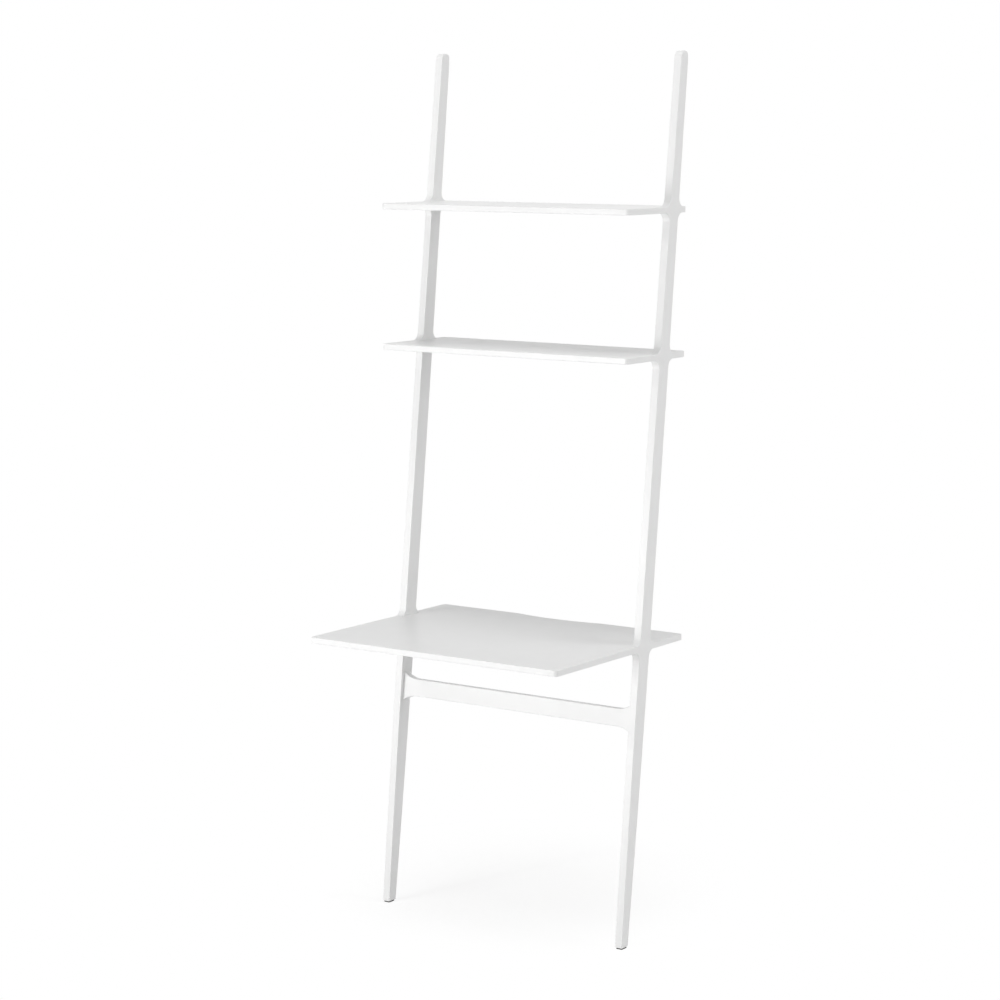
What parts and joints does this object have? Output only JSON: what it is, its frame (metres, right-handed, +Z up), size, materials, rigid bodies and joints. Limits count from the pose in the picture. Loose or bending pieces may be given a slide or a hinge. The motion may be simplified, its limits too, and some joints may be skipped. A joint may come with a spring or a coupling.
{
  "type": "ladder desk",
  "caption": "White lacquered ladder desk that leans on a wall: bowed leaning side frames carry a deep desk panel, shallower shelves above it and a flared crossbar below.",
  "frame": {"origin": "on the floor, in the middle of the desk's width, halfway between the wall plane and the desk panel's front edge", "axes": "+Z up, +Y towards the wall that it leans on, +X to the right for someone who faces that wall"},
  "size_m": [0.72, 0.555, 2.134],
  "materials": {
    "white_lacquer": "satin white lacquer over wood",
    "foot_rubber": "matt black rubber",
    "beech": "bare beech",
    "cam_zinc": "die-cast zinc, dull",
    "zinc_steel": "bright zinc plated steel",
    "bracket_paint": "white powder coat on folded steel"
  },
  "bodies": {
    "root": {"left_side_frame": "white_lacquer", "right_side_frame": "white_lacquer", "desk_panel": "white_lacquer", "middle_shelf_panel": "white_lacquer", "top_shelf_panel": "white_lacquer", "crossbar": "white_lacquer", "left_foot_pad": "foot_rubber", "right_foot_pad": "foot_rubber", "foot_pad_screws": "zinc_steel", "desk_dowels": "beech", "middle_shelf_dowels": "beech", "top_shelf_dowels": "beech", "crossbar_dowels": "beech", "desk_cams": "cam_zinc", "middle_shelf_cams": "cam_zinc", "top_shelf_cams": "cam_zinc", "crossbar_cams": "cam_zinc", "desk_cam_bolts": "zinc_steel", "middle_shelf_cam_bolts": "zinc_steel", "top_shelf_cam_bolts": "zinc_steel", "crossbar_cam_bolts": "zinc_steel", "left_wall_bracket": "bracket_paint", "right_wall_bracket": "bracket_paint", "wall_bracket_screws": "zinc_steel"}
  },
  "joints": []
}
